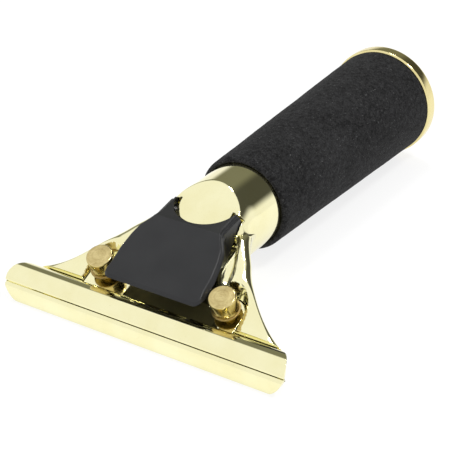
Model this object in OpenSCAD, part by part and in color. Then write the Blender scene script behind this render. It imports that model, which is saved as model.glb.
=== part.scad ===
// Handle of a professional window squeegee: polished brass head whose
// spring-lifted upper jaw clamps a slide-in rubber channel, a black snap-down
// release lever, and a foam grip on a socketed handle tube.
// Row frame: X along the jaws, +Y towards the handle end, +Z up.

/* [Jaws] */
// Length of both jaws, end to end
jaw_len = 102; // [96:1:110]
// Overall height of the closed jaw bar
jaw_h = 11.1; // [10.9:0.05:11.2]
// Radius of the bottom corners of the bar seen from the front
jaw_corner_low = 8; // [6:0.5:8.5]
// Radius of the top corners of the bar seen from the front
jaw_corner_top = 3.4; // [3:0.1:5]
// Radius of the rear corners of the bar seen from above
jaw_corner_rear = 12.5; // [11:0.5:12.5]
// Front to back width of the space that takes the rubber channel
cavity = 8.4; // [8:0.1:8.5]
// Thickness of the upper jaw's clamping plate
plate_t = 1.36; // [1.2:0.02:1.38]
// Outer radius of the plate's lobe round each stud
lobe_r = 5; // [4.9:0.1:5.8]

/* [Studs] */
// Distance from the middle of the head to each stud
stud_x = 22.5; // [22.4:0.1:24]
// Radius of the knurl-free knob on each stud
knob_r = 4.35; // [4:0.05:4.4]
// Height of the knob above its washer
knob_h = 6; // [5:0.1:7]
// Radius of the stud's shank
shank_r = 2; // [1.8:0.1:2]

/* [Release lever] */
// Half width of the lever near its front edge
lever_half = 17.75; // [17.3:0.05:17.8]
// Wall thickness of the lever moulding
lever_wall = 1.5; // [1.3:0.1:1.6]
// Radius of the hinge pins
pin_r = 1.2; // [1.1:0.05:1.25]

/* [Handle] */
// Outer radius of the neck and its sleeve
neck_r = 14.5; // [14.4:0.05:14.6]
// Outer radius of the handle tube
tube_r = 13.5; // [13.3:0.05:13.5]
// Radius of the pole socket in the handle end
socket_r = 12; // [11:0.1:12]
// Depth of the straight part of the pole socket
socket_depth = 49.5; // [40:0.5:55]
// Radius of the foam at its front end
foam_front_r = 16.5; // [16.3:0.1:18]
// Radius of the foam at its rear end
foam_rear_r = 19.8; // [19:0.1:19.8]
// Radius of the collar at the handle end
collar_r = 20.3; // [20.3:0.05:20.3]

/* [Hidden] */

total_len = 163;              // jaw front to the end of the collar
head_y = 60.45; head_z0 = 21.4; // a point on the handle axis at the front of the foam
axis_drop = 0.6;              // the handle axis drops towards its rear, degrees
function axis_z(y) = head_z0 - tan(axis_drop) * (y - head_y);
tilt = 23.6;                  // slope of the clamping plate
tt = tan(tilt);
plate_y = 16.2;               // where the stud axis meets the plate's top
plate_z = 11.2;
seat_t = 1.4;                 // plate top to the seat below it
fan_low = 0.3;                // how far the fan's top lies below the plate's
fan_t = 5.2;                  // thickness of the fan, upright
fan_y0 = 11.2;                // front face of the head casting
loft_y1 = 50;                 // where the neck becomes a plain tube
sleeve_y1 = 66;               // rear end of the neck sleeve
lev_y = 36.8; lev_z = 27.4;   // lever hinge axis
jaw_y = 41; jaw_z = 21.2;     // jaw hinge axis
leg_in = 9.6;                 // inner face of the upper jaw's two legs
leg_out = 12.4;               // outer face of the legs at the hinge
fn = 72;
gap = seat_t - plate_t;       // running gap under the plate
spring_room = 2.4;            // depth of the spring pockets below the seat
under_z = -4.9;               // spot face under the fan, from the plate's top

brass = "#d9cf86";
gold = "#b89a4a";
black = "#26272a";
steel = "#9a9ca0";

// ---------------------------------------------------------------- helpers
module place() { translate([0, -total_len / 2, 0]) children(); }

// a 2D outline given in (Y, Z), drawn out along X from x0 to x1
module along_x(x0, x1) {
    translate([x0, 0, 0]) rotate([90, 0, 90]) linear_extrude(x1 - x0) children();
}

// a round bar along X
module rod_x(y, z, r, x0, x1) {
    translate([x0, y, z]) rotate([0, 90, 0]) cylinder(r = r, h = x1 - x0, $fn = fn);
}

// a turned piece about the handle axis; its outline is in (radius, Y)
module turned() {
    translate([0, head_y, head_z0]) rotate([-90 - axis_drop, 0, 0]) translate([0, 0, -head_y])
        rotate_extrude($fn = 96) children();
}

// stands its children on the clamping plate at a stud
module on_stud(s) {
    translate([s * stud_x, plate_y, plate_z]) rotate([tilt, 0, 0]) children();
}

// a point list with each corner rounded to its own radius: [x, y, r]
function _u(a, b) = let (d = [b[0] - a[0], b[1] - a[1]], n = norm(d)) d / n;
function _corner(p, c, q, r, n) =
    let (a = _u(c, p), b = _u(c, q),
         cosw = a * b, w = acos(cosw) / 2, d = r / tan(w),
         m = _u([0, 0], a + b), ctr = [c[0], c[1]] + m * (r / sin(w)),
         p0 = [c[0], c[1]] + a * d, p1 = [c[0], c[1]] + b * d,
         a0 = atan2(p0[1] - ctr[1], p0[0] - ctr[0]),
         a1 = atan2(p1[1] - ctr[1], p1[0] - ctr[0]),
         da = ((a1 - a0) % 360 + 540) % 360 - 180)
    [for (i = [0:n]) ctr + r * [cos(a0 + da * i / n), sin(a0 + da * i / n)]];
function rounded(pts, n = 6) = let (m = len(pts))
    [for (i = [0:m - 1])
        let (p = pts[(i + m - 1) % m], c = pts[i], q = pts[(i + 1) % m])
        each (c[2] > 0 ? _corner(p, c, q, c[2], n) : [[c[0], c[1]]])];

function plate_top(y) = plate_z + tt * (y - plate_y);
function seat(y) = plate_top(y) - seat_t / cos(tilt);

// ---------------------------------------------------------------- head casting
function clamp01(t) = min(1, max(0, t));
function sstep(t) = let (c = clamp01(t)) c * c * (3 - 2 * c);
function mix(a, b, t) = a + (b - a) * t;

// half width of the head at y
function half_w(y) = 14.5 + 28.46 * exp((12 - y) / 13.87) * (1 - sstep((y - 29) / 19));
// the sloping front of the neck
function facet(y) = 36.6 - 0.66 * (47.5 - y) - 6 * pow(max(0, (34 - y) / 4), 2.2);
// half width of the neck above the fan; it ends forwards in a round nose
function neck_half(y) = (14.5 - 0.7 * pow(clamp01((52 - y) / 20), 2)) * sqrt(max(0.01, 1 - pow(max(0, (40 - y) / 11.5), 2)));
function keel_half(y) = 14.5 - 3 * pow(clamp01((52 - y) / 24.4), 2);
function keel(y) = mix(axis_z(y) - 14.5, 3.4, pow(clamp01((loft_y1 - y) / (loft_y1 - fan_y0)), 1.4));
function slab_on(y) = 1 - sstep((y - 35) / 13);
function smin(a, b, k) = let (h = clamp01(0.5 + 0.5 * (b - a) / k)) mix(b, a, h) - k * h * (1 - h);
function smax(a, b, k) = -smin(-a, -b, k);

// distance outside the tray that holds the plate, its lobes and the lever
function tray(y, x) = min(
    x - lookup(y, [[22.6, 18.8], [25.1, 18.3], [27.1, 17.4], [31.1, 15.6], [34.5, 14.2], [37.3, 13.2], [38.6, 12.2], [41, 8]]),
    2 * (norm([x - stud_x, y - plate_y]) - lobe_r - 0.35),
    2 * max(x - stud_x - lobe_r - 0.35, y - plate_y));

// height of the head's upper or lower surface: a fan-shaped slab with a raised
// rim round the tray, and the neck, whose cut-off front runs into a plain tube
function head_z(y, x, up) =
    let (w = half_w(y), ax = abs(x), s = min(1, ax / w), q = slab_on(y),
         tp = fan_t / 2 * q,
         z0 = mix(axis_z(y), plate_top(y) - fan_low - fan_t / 2, q),
         e = pow(max(0, 1 - pow(s, w / (up ? 3 : 2))), 0.5))
    up ? let (rim = (1.48 + 4.46 * sstep((y - 11) / 13)) * q * sstep(tray(y, ax) / 1.6 + 0.2),
              base = z0 + tp * e + rim - 0.12 * q * clamp01((ax - 12.2) / 3) * (1 - sstep((y - 37) / 3)) * sstep((y - 21) / 4),
              r0 = max(0, axis_z(y) + 14.5 - z0 - tp) * sqrt(max(0, 1 - pow(ax / mix(w, neck_half(y), q), 2))),
              rise = max(0, smin(r0, facet(y) - x * x / 120 - z0 - tp, 0.5)),
              k = 0.001 + (1.2 + 1.2 * sstep((y - 34) / 5)) * sstep(1.6 * q))
         smax(base, z0 + tp * e + rise - k * (1 - sstep(rise / k)), k)
       : let (t = min(1, ax / mix(w, keel_half(y), q)))
         z0 + 0.8 * sstep((y - 14) / 10) * q * sstep((s - 0.5) / 0.4) - tp * e
         - max(0, z0 - tp - keel(y)) * pow(max(0, 1 - t * t), mix(0.5, 0.9, q));

head_n = 30;                  // points along each of the upper and lower sides
head_ys = [10.4, 12.5, 14, 16, 18, 20, 21.3, 22.3, 23.4, 25, 26.5, 28, 29, 29.8, 30.6, 31.5, 33, 35, 37, 39, 41, 43, 45, 47.5, 50, 58, 67];
function ring(y) = let (w = half_w(y)) concat(
    [for (i = [0:head_n - 1]) let (a = 180 * i / head_n, x = w * cos(a)) [x, y, head_z(y, x, true)]],
    [for (i = [0:head_n - 1]) let (a = 180 * i / head_n, x = -w * cos(a)) [x, y, head_z(y, x, false)]]);

module head_loft() {
    m = 2 * head_n; k = len(head_ys);
    pts = [for (y = head_ys) each ring(y)];
    sides = [for (j = [0:k - 2], i = [0:m - 1]) let (a = j * m + i, b = j * m + (i + 1) % m,
             c = a + m, d = b + m) each [[a, b, d], [a, d, c]]];
    polyhedron(points = pts,
        faces = concat([[for (i = [m - 1:-1:0]) i]], sides, [[for (i = [0:m - 1]) (k - 1) * m + i]]),
        convexity = 6);
}

// half widths of the clamping plate from the bar back to its hinge
plate_half = [[16, 10.3], [16, 26], [15, 30.4], [14.4, 32.5], [12.5, 36.5], [12.5, 45]];
// outline of the clamping plate behind the bar, grown by g, without the fork
module plate_outline(g) {
    translate([0, 0, -2]) linear_extrude(60) polygon(concat(
        [for (p = plate_half) [p[0] + g, p[1]]], [for (i = [len(plate_half) - 1:-1:0]) [-plate_half[i][0] - g, plate_half[i][1]]]));
    for (s = [-1, 1]) {
        translate([s * stud_x, plate_y, -2]) cylinder(r = lobe_r + g, h = 60, $fn = fn);
        translate([s > 0 ? stud_x - lobe_r - g - 2 : -stud_x - lobe_r - g, 10.3, -2]) cube([2 * (lobe_r + g) + 2, plate_y + g - 10.3, 60]);
    }
}

module fork_gap(r) {
    translate([0, 36, -3]) cylinder(r = r, h = 62, $fn = fn);
    translate([-r, 36, -3]) cube([2 * r, 12, 62]);
}

// everything above the seat, up to h over it, between y0 and y1
module above_seat(y0, y1, h0, h1) {
    along_x(-60, 60) polygon([[y0, seat(y0) + h0], [y1, seat(y1) + h0], [y1, seat(y1) + h1], [y0, seat(y0) + h1]]);
}

module head_casting() {
    color(brass) place() difference() {
        head_loft();
        // flat front face and rear end
        translate([-80, fan_y0 - 6, -20]) cube([160, 6, 90]);
        translate([-80, sleeve_y1, -20]) cube([160, 6, 90]);
        // seat of the clamping plate, with the nose of the neck left standing
        difference() {
            intersection() { plate_outline(0.35); above_seat(10, 38.2, 0, 40); }
            fork_gap(leg_in - 0.35);
        }
        // slots for the two legs of the jaw
        difference() {
            intersection() { plate_outline(0.35); above_seat(38.1, 43.9, 0, 2.6); }
            fork_gap(leg_in - 0.35);
        }
        for (s = [-1, 1]) {
            // round room for the leg's knuckle
            rod_x(jaw_y, jaw_z, 2.75, s > 0 ? leg_in - 0.35 : -leg_out - 0.35, s > 0 ? leg_out + 0.35 : -leg_in + 0.35);
            // slot in which the lever's horn turns
            rod_x(lev_y, lev_z, 4.25, s > 0 ? 10.2 : -12.85, s > 0 ? 12.85 : -10.2);
            rod_x(lev_y, lev_z, 4.6, s > 0 ? 9.3 : -10.25, s > 0 ? 10.25 : -9.3);
            on_stud(s) {
                translate([0, 0, -12]) cylinder(r = shank_r + 0.05, h = 12, $fn = fn);
                translate([0, 0, -seat_t - spring_room]) cylinder(r = 3.5, h = 6, $fn = fn);
                translate([0, 0, under_z - 8]) cylinder(r = 4.3, h = 8, $fn = fn);
            }
        }
        // pin holes
        rod_x(lev_y, lev_z, pin_r, -20, 20);
        rod_x(jaw_y, jaw_z, pin_r, -20, 20);
        // bore for the handle tube, and the hollow ahead of it
        turned() polygon([[0, 44.6], [9, 44.6], [9, 52], [tube_r, 52], [tube_r, 72], [0, 72]]);
        rod_x(63, axis_z(63), 1.5, -20, 20);
    }
}

// ---------------------------------------------------------------- jaws
c0 = 1.8;                     // front wall of the channel space
c1 = c0 + cavity;             // rear wall
bar_c = [6, 5.7];             // centre of the round of the upper jaw
bar_r = jaw_h - 5.7;

module bar_limits() {
    r_top = min(jaw_corner_top + 1, jaw_h + 1.4 - (jaw_corner_low + 0.5));
    translate([0, -5, 0]) rotate([90, 0, 0]) mirror([0, 0, 1]) linear_extrude(60)
        polygon(rounded([[-jaw_len / 2, -0.5, jaw_corner_low + 0.5], [jaw_len / 2, -0.5, jaw_corner_low + 0.5],
                         [jaw_len / 2, jaw_h + 1, r_top], [-jaw_len / 2, jaw_h + 1, r_top]], 8));
}
module bar_plan() {
    translate([0, 0, -1]) linear_extrude(60)
        polygon(rounded([[-jaw_len / 2 - 0.15, -3, 0], [jaw_len / 2 + 0.15, -3, 0],
                         [jaw_len / 2 + 0.15, fan_y0 + 0.15, jaw_corner_rear], [-jaw_len / 2 - 0.15, fan_y0 + 0.15, jaw_corner_rear]], 9));
}

module lower_jaw() {
    color(brass) place() intersection() {
        along_x(-jaw_len, jaw_len) polygon(rounded([
            [0, 0, 1.2], [fan_y0, 0, 2], [fan_y0, seat(fan_y0), 0], [c1, seat(c1), 0],
            [c1, 1.5, 1], [c0, 1.5, 1], [c0, 6.55, 0], [0.9, 6.55, 0.2], [0, 5.75, 0.6]], 6));
        bar_limits();
        bar_plan();
    }
}

function arc_pts(c, r, a0, a1, n) = [for (i = [0:n]) let (a = a0 + (a1 - a0) * i / n) c + r * [cos(a), sin(a)]];

module upper_jaw() {
    color(brass) place() difference() {
        union() {
            // bar
            intersection() {
                along_x(-jaw_len, jaw_len) polygon(concat(
                    [[2.12, 7.05]],
                    arc_pts(bar_c, bar_r, 165.5, 36, 20),
                    [[10.75, 8.79], [11.1, seat(11.1) + 0.12], [c1, seat(c1) + 0.12]],
                    arc_pts(bar_c, bar_r - 1.3, 16, 159.5, 14)));
                bar_limits();
                bar_plan();
            }
            // clamping plate with its lobes
            intersection() {
                plate_outline(0);
                along_x(-60, 60) polygon([[10.35, seat(10.35) + gap / cos(tilt)], [41, seat(41) + gap / cos(tilt)],
                                          [41, plate_top(41)], [10.35, plate_top(10.35)]]);
            }
            // knuckles
            for (s = [-1, 1])
                rod_x(jaw_y, jaw_z, 2.35, s > 0 ? leg_in : -leg_out, s > 0 ? leg_out : -leg_in);
        }
        fork_gap(leg_in);
        rod_x(jaw_y, jaw_z, pin_r + 0.05, -20, 20);
        for (s = [-1, 1]) on_stud(s) translate([0, 0, -3]) cylinder(r = shank_r + 0.45, h = 6, $fn = fn);
    }
}

// ---------------------------------------------------------------- release lever
function lever_top(y) = y < 28.45 ? 16.6 + (29.2 - 16.6) / (28.45 - 6.9) * (y - 6.9)
                                  : 29.2 + (31.2 - 29.2) / (39.4 - 28.45) * (y - 28.45);
// outlines of its top plate and of the hollow body under it: half width, y, corner
top_plan = [[17.2, 7.35, 2.4], [lever_half, 10, 4], [lever_half, 16.5, 6], [16.9, 21.4, 8], [15.8, 24.9, 6],
            [13.2, 28.6, 4], [12.5, 31, 3], [12.35, 41, 0.3]];
body_plan = [[15.9, 9, 2], [16.4, 11, 4], [16.4, 16.5, 6], [15.6, 21.2, 8], [14.5, 24.6, 6],
             [12.75, 28.2, 4], [12.5, 31, 3], [12.5, 41, 0.3]];
// side view of the body, from the horns down and forwards
under = [[39.5, 29.8, 1.1], [39.3, 26.9, 1.2], [37.5, 25.4, 1], [34.9, 22.9, 2], [32.6, 20.1, 1.5], [31.4, 17.92, 0.4],
         [29.5, 17.1, 0.4], [27.2, 18.5, 3], [23.4, 20.1, 4], [19, 18.9, 4], [13.5, 17.3, 5], [9.4, 16, 1.5]];
function flip(p) = [for (i = [len(p) - 1:-1:0]) [-p[i][0], p[i][1], p[i][2]]];
function inset(p, g) = [for (q = p) [q[0] - g, q[1], q[2]]];

module plan_solid(p, g) {
    linear_extrude(60) polygon(rounded(concat(inset(p, g), flip(inset(p, g))), 5));
}

module release_lever() {
    w = lever_wall;
    color(black) place() difference() {
        union() {
            // top plate, overhanging all round
            intersection() {
                plan_solid(top_plan, 0);
                along_x(-20, 20) polygon(rounded([
                    [6.9, lever_top(6.9) - 1.3, 0], [6.9, lever_top(6.9), 0], [28.45, lever_top(28.45), 0], [38.5, lever_top(38.5), 0.9],
                    [39.5, 29.8, 1.1], [39.2, 28.4, 0.2], [28.45, lever_top(28.45) - 1.9, 0]], 6));
            }
            // body, hollow from below behind its front block
            difference() {
                intersection() {
                    plan_solid(body_plan, 0);
                    along_x(-20, 20) polygon(rounded(concat(
                        [[8, 15.6, 0], [8, lever_top(8) - 0.6, 0], [28.45, lever_top(28.45) - 0.6, 0], [38.3, lever_top(38.3) - 0.6, 0.8]], under), 6));
                }
                intersection() {
                    translate([0, 0, -1]) plan_solid(body_plan, w);
                    along_x(-20, 20) polygon([[17.5, 0], [40, 0], [40, 22], [34.5, lever_top(34.5) - w],
                        [28.45, lever_top(28.45) - w], [17.5, lever_top(17.5) - w]]);
                }
            }
            // ribs that press on the clamping plate, and a cross rib
            for (s = [-1, 1]) along_x(s * 7.6 - 0.8, s * 7.6 + 0.8) polygon([
                [17, lever_top(17) - w], [19, plate_top(19) + 0.06], [25.5, plate_top(25.5) + 0.06],
                [27.2, lever_top(27.2) - w]]);
            along_x(-14.6, 14.6) polygon([[21.5, 19.9], [22.9, 20.4], [22.9, lever_top(22.9) - w / 2], [21.5, lever_top(21.5) - w / 2]]);
        }
        // notch round the nose of the neck, and the space between the horns
        translate([0, 40, 10]) scale([1.045, 1, 1]) cylinder(r = 10.4, h = 30, $fn = fn);
        translate([-10.87, 40, 10]) cube([21.74, 4, 30]);
        translate([-10.7, 33, 10]) cube([21.4, 12, lever_top(33) - 1.6 - 10]);
        rod_x(lev_y, lev_z, pin_r + 0.05, -11.8, 11.8);
    }
}

module lever_pin() { color(steel) place() rod_x(lev_y, lev_z, pin_r, -11.7, 11.7); }
module jaw_pin() { color(steel) place() rod_x(jaw_y, jaw_z, pin_r, -14, 14); }

// ---------------------------------------------------------------- studs
knob_z = 2.5;                 // underside of the knob above the plate
module stud(s) {
    color(gold) place() on_stud(s) {
        rotate_extrude($fn = fn) polygon(concat(
            [[0, -8.7], [shank_r - 0.3, -8.7], [shank_r, -8.3], [shank_r, knob_z], [3.7, knob_z], [3.95, knob_z + 0.25],
             [knob_r, knob_z + knob_h - 0.9], [knob_r, knob_z + knob_h - 0.5]],
            [for (i = [0:6]) let (a = i * 15) [(knob_r - 0.5) + 0.5 * cos(a), knob_z + knob_h - 0.5 + 0.5 * sin(a)]],
            [[2.2, knob_z + knob_h + 0.28], [0, knob_z + knob_h + 0.4]]));
    }
}
module washer(s) {
    color(gold) place() on_stud(s) rotate_extrude($fn = fn)
        polygon([[shank_r, knob_z - 0.6], [4.4, knob_z - 0.6], [4.6, knob_z - 0.4], [4.6, knob_z - 0.2], [4.4, knob_z], [shank_r, knob_z]]);
}
module lock_washer(s) {
    color(steel) place() on_stud(s) translate([0, 0, under_z - 0.8]) difference() {
        cylinder(r = 3.5, h = 0.8, $fn = fn);
        translate([0, 0, -1]) cylinder(r = shank_r, h = 3, $fn = fn);
    }
}
module nut(s) {
    color(gold) place() on_stud(s) translate([0, 0, under_z - 3.2]) difference() {
        cylinder(r = 4.0, h = 2.4, $fn = 6);
        translate([0, 0, -1]) cylinder(r = shank_r, h = 5, $fn = fn);
    }
}

// compression spring in the pocket round each stud
spring_r = 2.78;              // mean radius of the coil
wire_r = 0.32;
spring_turns = 2.75;
spring_h = spring_room - 2 * wire_r - 0.06;
module jaw_spring(s) {
    k = 44; m = 8;
    z0 = -seat_t - spring_room + wire_r;
    function at(i) = let (t = i / k, a = 360 * spring_turns * t,
        e = clamp01((t - 0.16) / 0.68)) [a, z0 + spring_h * e];
    pts = [for (i = [0:k]) let (p = at(i)) for (j = [0:m - 1])
        let (b = 360 * j / m, r = spring_r + wire_r * cos(b))
        [r * cos(p[0]), r * sin(p[0]), p[1] + wire_r * sin(b)]];
    color(steel) place() on_stud(s) polyhedron(points = pts, faces = concat(
        [[for (j = [0:m - 1]) j]],
        [for (i = [0:k - 1], j = [0:m - 1]) let (a = i * m + j, b = i * m + (j + 1) % m)
            each [[a, a + m, b + m], [a, b + m, b]]],
        [[for (j = [m - 1:-1:0]) k * m + j]]));
}

module left_stud() { stud(-1); }
module right_stud() { stud(1); }
module left_stud_washer() { washer(-1); }
module right_stud_washer() { washer(1); }
module left_jaw_spring() { jaw_spring(-1); }
module right_jaw_spring() { jaw_spring(1); }
module left_lock_washer() { lock_washer(-1); }
module right_lock_washer() { lock_washer(1); }
module left_stud_nut() { nut(-1); }
module right_stud_nut() { nut(1); }

// ---------------------------------------------------------------- handle
tube_y1 = 161.5;
module socket_tube() {
    color(brass) place() difference() {
        turned() polygon([[10.8, 52], [tube_r, 52], [tube_r, tube_y1], [socket_r, tube_y1],
            [socket_r, tube_y1 - socket_depth], [10.8, tube_y1 - socket_depth - 12]]);
        rod_x(63, axis_z(63), 1.5, -20, 20);
    }
}
module tube_rivet() { color(steel) place() rod_x(63, axis_z(63), 1.5, -14.4, 14.4); }

module foam_grip() {
    color(black) place() turned() polygon(concat(
        [[neck_r + 0.05, sleeve_y1], [neck_r + 0.05, head_y]],
        arc_pts([foam_front_r - 1.8, head_y + 1.9], 1.8, 280, 355, 4),
        [[foam_rear_r, 157.5], [tube_r, 157.5], [tube_r, sleeve_y1 + 0.1], [neck_r + 0.05, sleeve_y1 + 0.1]]));
}

module end_collar() {
    color(gold) place() turned() polygon(concat(
        [[tube_r, 157.5], [collar_r - 0.9, 157.5]],
        arc_pts([collar_r - 0.8, 158.3], 0.8, 280, 350, 3),
        arc_pts([collar_r - 1.4, total_len - 1.4], 1.4, 0, 90, 5),
        [[socket_r + 1.2, total_len], [socket_r + 0.4, total_len - 0.6], [socket_r + 0.4, tube_y1], [tube_r, tube_y1]]));
}

head_casting();
lower_jaw();
upper_jaw();
release_lever();
lever_pin();
jaw_pin();
left_stud();
right_stud();
left_stud_washer();
right_stud_washer();
left_jaw_spring();
right_jaw_spring();
left_lock_washer();
right_lock_washer();
left_stud_nut();
right_stud_nut();
socket_tube();
tube_rivet();
foam_grip();
end_collar();
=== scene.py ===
import math
import bpy
import bmesh
import numpy as np
from mathutils import Matrix, Vector, noise


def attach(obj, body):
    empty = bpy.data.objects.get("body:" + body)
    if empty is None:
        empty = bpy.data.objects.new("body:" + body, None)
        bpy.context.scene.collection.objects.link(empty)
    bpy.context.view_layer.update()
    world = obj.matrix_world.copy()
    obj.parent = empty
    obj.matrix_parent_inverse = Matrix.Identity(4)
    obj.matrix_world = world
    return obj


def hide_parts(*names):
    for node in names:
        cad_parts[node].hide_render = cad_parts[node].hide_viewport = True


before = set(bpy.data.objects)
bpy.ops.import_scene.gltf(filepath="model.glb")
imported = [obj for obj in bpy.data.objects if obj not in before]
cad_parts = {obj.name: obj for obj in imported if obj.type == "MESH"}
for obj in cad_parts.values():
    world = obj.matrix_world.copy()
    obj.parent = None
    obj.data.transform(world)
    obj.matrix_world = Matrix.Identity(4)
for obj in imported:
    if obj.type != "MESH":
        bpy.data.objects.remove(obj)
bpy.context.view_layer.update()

SHIFT = 81.5                      # row y = outline y - SHIFT, all outline sizes in mm
rad = math.radians


def lin(c):
    """sRGB 0-255 to linear"""
    out = []
    for v in c:
        v = v / 255.0
        out.append(v / 12.92 if v <= 0.04045 else ((v + 0.055) / 1.055) ** 2.4)
    return tuple(out)


# ------------------------------------------------------------------ sizes
jaw_len, jaw_h = 102.0, 11.1
corner_low, corner_top, corner_rear = 8.0, 3.4, 12.5
r_top = 4.0                   # corner_top + 1, kept clear of the lower arc
cavity, plate_t, seat_t = 8.4, 1.36, 1.4
lobe_r, stud_x, knob_r, knob_h, shank_r = 5.0, 22.5, 4.35, 6.0, 2.0
lever_half, lever_wall, pin_r = 17.75, 1.5, 1.2
neck_r, tube_r, socket_r, socket_depth = 14.5, 13.5, 12.0, 49.5
foam_front_r, foam_rear_r, collar_r = 16.5, 19.8, 20.3
total_len, head_y, head_z0, axis_drop = 163.0, 60.45, 21.4, 0.6
tilt = 23.6
tt = math.tan(rad(tilt))
ct = math.cos(rad(tilt))
plate_y, plate_z = 16.2, 11.2
fan_low, fan_t, fan_y0, loft_y1, sleeve_y1 = 0.3, 5.2, 11.2, 50.0, 66.0
lev_y, lev_z, jaw_y, jaw_z = 36.8, 27.4, 41.0, 21.2
leg_in, leg_out = 9.6, 12.4
gap = seat_t - plate_t
spring_room, under_z, knob_z = 2.4, -4.9, 2.5
tube_y1 = 161.5


def axis_z(y):
    return head_z0 - math.tan(rad(axis_drop)) * (y - head_y)


def plate_top(y):
    return plate_z + tt * (y - plate_y)


def seat(y):
    return plate_top(y) - seat_t / ct


# ------------------------------------------------------------------ mesh helpers
def put(name, verts, faces, mat=None, sharp=35.0, local=False):
    """a mesh object; verts in outline mm unless local, then metres as given"""
    me = bpy.data.meshes.new(name)
    v = np.asarray(verts, float).reshape(-1, 3)
    if not local:
        v = (v - np.array([0, SHIFT, 0])) / 1000.0
    me.from_pydata([tuple(p) for p in v], [], [tuple(int(i) for i in f) for f in faces])
    me.validate(clean_customdata=False)
    bm = bmesh.new()
    bm.from_mesh(me)
    bmesh.ops.recalc_face_normals(bm, faces=bm.faces)
    bm.to_mesh(me)
    bm.free()
    ob = bpy.data.objects.new(name, me)
    bpy.context.scene.collection.objects.link(ob)
    smooth(ob, sharp)
    if mat:
        me.materials.append(mat)
    return ob


def smooth(ob, sharp=35.0):
    me = ob.data
    me.polygons.foreach_set("use_smooth", [True] * len(me.polygons))
    me.set_sharp_from_angle(angle=rad(sharp))
    me.update()


def prism(pts, d0, d1, how):
    """a closed 2D outline drawn out: how x: (y,z) along x, how z: (x,y) along z, how y: (x,z) along y"""
    n = len(pts)
    vs = []
    for d in (d0, d1):
        for a, b in pts:
            vs.append({"x": (d, a, b), "z": (a, b, d), "y": (a, d, b)}[how])
    fs = [tuple(range(n)), tuple(range(2 * n - 1, n - 1, -1))]
    fs += [(i, (i + 1) % n, n + (i + 1) % n, n + i) for i in range(n)]
    return vs, fs


def rod_x(y, z, r, x0, x1, n=96):
    return prism([(y + r * math.cos(2 * math.pi * i / n), z + r * math.sin(2 * math.pi * i / n)) for i in range(n)], x0, x1, "x")


def box(x0, x1, y0, y1, z0, z1):
    return prism([(x0, y0), (x1, y0), (x1, y1), (x0, y1)], z0, z1, "z")


def cyl_z(x, y, r, z0, z1, n=96):
    return prism([(x + r * math.cos(2 * math.pi * i / n), y + r * math.sin(2 * math.pi * i / n)) for i in range(n)], z0, z1, "z")


def lathe(prof, n=160, close=False):
    """outline (r, h) turned about h; open ends on the axis are closed"""
    vs, fs, rows = [], [], []
    for r, h in prof:
        if r < 1e-6:
            rows.append([len(vs)])
            vs.append((0, 0, h))
        else:
            rows.append(list(range(len(vs), len(vs) + n)))
            vs += [(r * math.cos(2 * math.pi * i / n), r * math.sin(2 * math.pi * i / n), h) for i in range(n)]
    pairs = list(zip(rows[:-1], rows[1:])) + ([(rows[-1], rows[0])] if close else [])
    for a, b in pairs:
        for i in range(n):
            j = (i + 1) % n
            if len(a) == 1 and len(b) == 1:
                continue
            if len(a) == 1:
                fs.append((a[0], b[i], b[j]))
            elif len(b) == 1:
                fs.append((a[i], b[0], a[j]))
            else:
                fs.append((a[i], b[i], b[j], a[j]))
    return vs, fs


def corner(p, c, q, r, n):
    p, c, q = Vector(p[:2]), Vector(c[:2]), Vector(q[:2])
    a, b = (p - c).normalized(), (q - c).normalized()
    w = math.acos(max(-1, min(1, a.dot(b)))) / 2
    d = r / math.tan(w)
    ctr = c + (a + b).normalized() * (r / math.sin(w))
    p0, p1 = c + a * d, c + b * d
    a0 = math.atan2(p0.y - ctr.y, p0.x - ctr.x)
    a1 = math.atan2(p1.y - ctr.y, p1.x - ctr.x)
    da = (a1 - a0 + 3 * math.pi) % (2 * math.pi) - math.pi
    return [(ctr.x + r * math.cos(a0 + da * i / n), ctr.y + r * math.sin(a0 + da * i / n)) for i in range(n + 1)]


def rounded(pts, n=10):
    out = []
    m = len(pts)
    for i in range(m):
        p, c, q = pts[i - 1], pts[i], pts[(i + 1) % m]
        if c[2] > 0:
            out += corner(p, c, q, c[2], n)
        else:
            out.append((c[0], c[1]))
    return out


def arc(c, r, a0, a1, n):
    return [(c[0] + r * math.cos(rad(a0 + (a1 - a0) * i / n)), c[1] + r * math.sin(rad(a0 + (a1 - a0) * i / n))) for i in range(n + 1)]


def resample(pts, step, closed=True):
    """adds points along the straight runs so that no edge is longer than step"""
    out = []
    n = len(pts)
    for i in range(n if closed else n - 1):
        a, b = np.array(pts[i]), np.array(pts[(i + 1) % n])
        k = max(1, int(math.ceil(np.linalg.norm(b - a) / step)))
        for j in range(k):
            out.append(tuple(a + (b - a) * j / k))
    if not closed:
        out.append(pts[-1])
    return out


def tmp(vf, mtx=None):
    ob = put("tmp", vf[0], vf[1], local=True)
    if mtx is not None:
        ob.data.transform(mtx)
    return ob


def scaled(ob):
    """a scratch solid in outline mm becomes one in row metres"""
    ob.data.transform(Matrix.Translation((0, -SHIFT / 1000, 0)) @ Matrix.Scale(0.001, 4))
    return ob


def cut(ob, tool, op="DIFFERENCE", keep=False):
    m = ob.modifiers.new("b", "BOOLEAN")
    m.operation = op
    m.object = tool
    m.solver = "MANIFOLD"
    dg = bpy.context.evaluated_depsgraph_get()
    me = bpy.data.meshes.new_from_object(ob.evaluated_get(dg))
    if len(me.polygons) == 0:
        m.solver = "EXACT"
        dg = bpy.context.evaluated_depsgraph_get()
        me = bpy.data.meshes.new_from_object(ob.evaluated_get(dg))
    ob.modifiers.clear()
    old = ob.data
    ob.data = me
    bpy.data.meshes.remove(old)
    if not keep:
        d = tool.data
        bpy.data.objects.remove(tool)
        bpy.data.meshes.remove(d)
    return ob


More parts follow.
